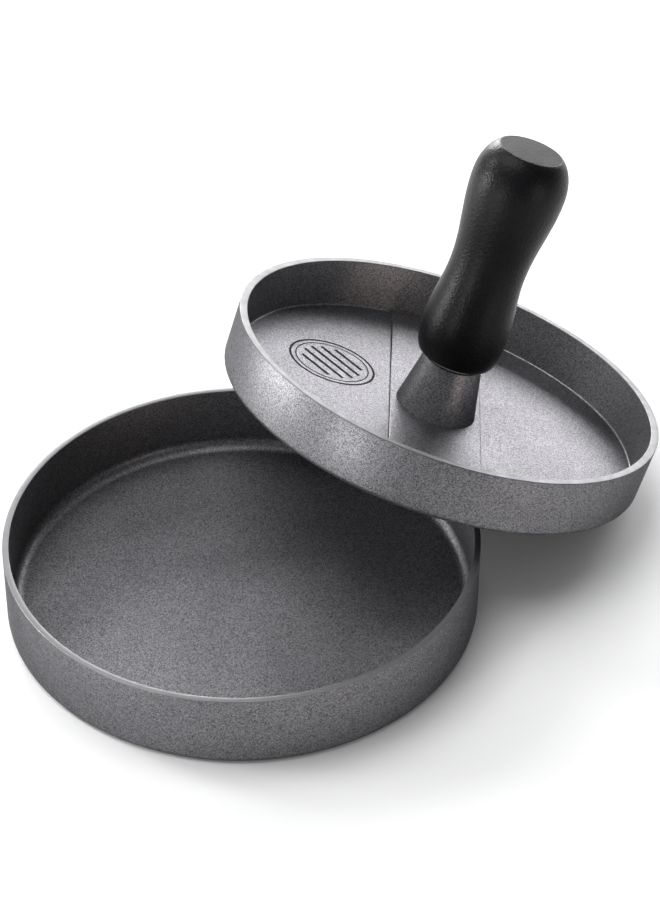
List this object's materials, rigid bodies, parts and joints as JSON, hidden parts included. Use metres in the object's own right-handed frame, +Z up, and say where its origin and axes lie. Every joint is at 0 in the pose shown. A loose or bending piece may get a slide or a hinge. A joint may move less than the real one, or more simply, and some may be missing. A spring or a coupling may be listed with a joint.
{
  "type": "patty press",
  "caption": "Cast patty press: a round tray, and a ribbed press plate with a black screwed-on grip that leans on the tray's lip.",
  "frame": {"origin": "centre of the tray's flat underside, on the table", "axes": "+Z up, out of the tray's open mouth; +X from the tray towards the side where the press plate rests on the table"},
  "size_m": [0.1855, 0.1283, 0.0972],
  "materials": {
    "coated_aluminium": "cast, with a metallic grey non-stick coating and fine sparkle",
    "nylon": "pale grey nylon",
    "steel": "zinc-plated",
    "brass": "plain machined",
    "soft_black_plastic": "black, fine matt texture"
  },
  "bodies": {
    "tray": {"tray": "coated_aluminium"},
    "press": {"press_plate": "coated_aluminium"},
    "washer": {"handle_washer": "nylon"},
    "handle": {"handle_grip": "soft_black_plastic", "handle_insert": "brass", "handle_stud": "steel"}
  },
  "joints": [
    {"name": "press_lift", "type": "slide", "parent": "tray", "child": "press", "axis": [0.373, 0, 0.9278], "range_m": [0, 0.09]},
    {"name": "handle_turn", "type": "hinge", "parent": "press", "child": "washer", "pos_m": [0.07333, 0.0111, 0.03764], "axis": [0.373, 0, 0.9278], "range_deg": [0, 2880]},
    {"name": "handle_rise", "type": "slide", "parent": "washer", "child": "handle", "axis": [0.373, 0, 0.9278], "range_m": [0, 0.01]}
  ],
  "couplings": [
    {"joint": "handle_rise", "follows": "handle_turn", "m_per_rad": 0.00019894}
  ]
}
